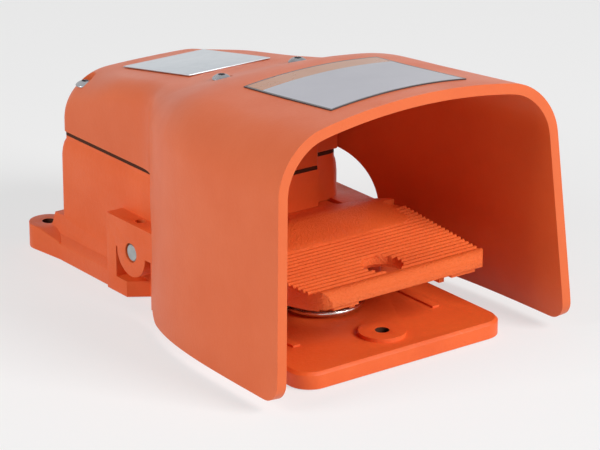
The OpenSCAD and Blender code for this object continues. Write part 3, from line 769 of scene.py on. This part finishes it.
# %% Soften a copy of a solid
def soften(node, name, width, segments, *, body="base"):
    """Replaces a solid by its copy with rounded edges."""
    alone(nodes[node])
    bpy.ops.object.duplicate()
    obj = bpy.context.object
    for key in list(obj.keys()):
        del obj[key]
    bpy.ops.object.mode_set(mode="EDIT")
    bpy.ops.mesh.select_all(action="SELECT")
    bpy.ops.mesh.remove_doubles(threshold=0.00001)
    bpy.ops.mesh.dissolve_limited(angle_limit=math.radians(0.6))
    bpy.ops.object.mode_set(mode="OBJECT")
    if obj.data.has_custom_normals:
        bpy.ops.mesh.customdata_custom_splitnormals_clear()
    add_modifier(obj, "BEVEL", width=width * MM, segments=segments, limit_method="ANGLE",
                 angle_limit=math.radians(28), harden_normals=False)
    return settle(obj, name, body, slot_of[node], node, angle=40)


base = soften("base_casting", "cast_base", 0.9, 3)
pedal = soften("pedal", "ribbed_pedal", 0.35, 2, body="pedal")
gasket = soften("cover_gasket", "cover_gasket_ring", 0.35, 2)
plate = soften("name_plate", "bare_name_plate", 0.18, 2)
screws = soften("cover_screws", "cover_button_screws", 0.22, 2)

# %% [markdown]
# The walls of the mounting holes and the set screw holes, and the mouth of the pin's bore, are made a
# dull dark brown: painted shade, standing in for the shadow deep in the holes. The faces of a hole are
# those whose middle lies no farther from the hole's axis than its edge does.

# %% Painted shade in the holes of the base
# painted shade: a dark brown for the hole walls and the bore mouth, where shade falls
finish["drilled_hole"] = coated(
    "hole_shade_paint", (0.085, 0.028, 0.014), (0.06, 0.02, 0.011), (0.03, 0.012, 0.008),
    specks=0.3, peel=500.0, grains=1900.0, grit=1.0,
    gloss=(0.6, 0.8), bump=0.3, depth=0.0004, Specular_IOR_Level=0.2)
base.data.materials.append(finish["drilled_hole"])
mount_radius, set_screw_radius, set_screw_low = 3.6, 2.7, 28.5
upright_holes = [(0, -93.0, mount_radius, 0)]
upright_holes += [(side * 49.0, 117.5, mount_radius, 0) for side in (-1, 1)]
upright_holes += [(side * 55.0, pin_y, set_screw_radius, set_screw_low) for side in (-1, 1)]
shaded = 0
for face in base.data.polygons:
    at_x, at_y, at_z = face.center / MM
    upright = abs(face.normal.z) < 0.3
    drilled = abs(at_x) > 50 and math.hypot(at_y - pin_y, at_z - pin_z) < pin_bore / 2
    for x, y, radius, lowest in upright_holes:
        near = math.hypot(at_x - x, at_y - y) < radius
        drilled = drilled or (near and upright and at_z > lowest)
    if drilled:
        face.material_index = 1
        shaded += 1
print("bare hole faces", shaded)

# %% Painted shade in the sockets of the cover screws
# painted shade: the faces inside each hex socket get a near black steel, where shade falls
finish["socket_painted_shade"] = metallic(
    "socket_painted_shade", (0.06, 0.06, 0.065), (0.03, 0.03, 0.035),
    stretch=(1, 1, 6), lines=500.0, gloss=(0.4, 0.6))
screws.data.materials.append(finish["socket_painted_shade"])
screw_middles = [(side * front_screw_x, front_screw_y) for side in (-1, 1)]
screw_middles += [(side * rear_screw_x, rear_screw_y) for side in (-1, 1)]
dark = 0
for face in screws.data.polygons:
    x, y = face.center.x / MM, face.center.y / MM
    inside = min(math.hypot(x - a, y - b) for a, b in screw_middles) < 1.72
    if inside and face.center.z > 0.08:
        face.material_index = 1
        dark += 1
print("socket faces", dark)

# %% [markdown]
# ## Return spring
# A round steel wire is wound into a coil whose last turn at each end is closed,
# so that it stands flat. A circle spun and lifted by Screw gives an even helix.
# Then each ring is moved along the axis: the first and last turn are pressed together and the turns
# between them share the rest.

# %% Wind the spring
seat, free_end = (corner_point.z / MM for corner_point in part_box("return_spring"))
coil_y = sum(corner_point.y for corner_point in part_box("return_spring")) / 2 / MM
coil_mean, wire, turns, per_turn, sides_round = 38.6, 2.3, 7, 64, 16
bpy.ops.object.select_all(action="DESELECT")
bpy.ops.mesh.primitive_circle_add(
    vertices=sides_round, radius=wire / 2 * MM, fill_type="NOTHING")
spring = bpy.context.object
bpy.ops.object.mode_set(mode="EDIT")
bpy.ops.mesh.select_all(action="SELECT")
bpy.ops.transform.rotate(value=math.radians(90), orient_axis="X", center_override=(0, 0, 0))
bpy.ops.transform.translate(value=(coil_mean / 2 * MM, 0, 0))
bpy.ops.object.mode_set(mode="OBJECT")
pitch = 4.0
add_modifier(spring, "SCREW", axis="Z", angle=math.radians(360 * turns),
             screw_offset=pitch * turns * MM, steps=per_turn * turns,
             render_steps=per_turn * turns, use_smooth_shade=True)
height = free_end - seat
print("spring points", len(spring.data.vertices), "height", round(height, 2))


# %% Close its end turns
def rise(t):
    """Height of the wire's lower side after t turns."""
    if t < 1:
        return t * wire
    if t > turns - 1:
        return height - wire - (turns - t) * wire
    return wire + (t - 1) * (height - 3 * wire) / (turns - 2)


for v in spring.data.vertices:
    angle = math.atan2(v.co.y, v.co.x) / (2 * math.pi) % 1
    t = round(v.co.z / MM / pitch - angle) + angle
    t = min(turns, max(0.0, t))
    if abs(v.co.z / MM - pitch * turns) < wire and t < 0.5:
        t = turns
    v.co.z = (seat + wire / 2 + rise(t)) * MM + (v.co.z - t * pitch * MM)
    v.co.y += coil_y * MM
pick(spring, "EDGE", lambda e: False)
bpy.ops.mesh.select_non_manifold(extend=False)
bpy.ops.mesh.edge_face_add()
bpy.ops.mesh.select_all(action="SELECT")
bpy.ops.mesh.normals_make_consistent(inside=False)
bpy.ops.object.mode_set(mode="OBJECT")
settle(spring, "coil_return_spring", "base", "spring_steel", "return_spring", angle=60)
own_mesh(spring)
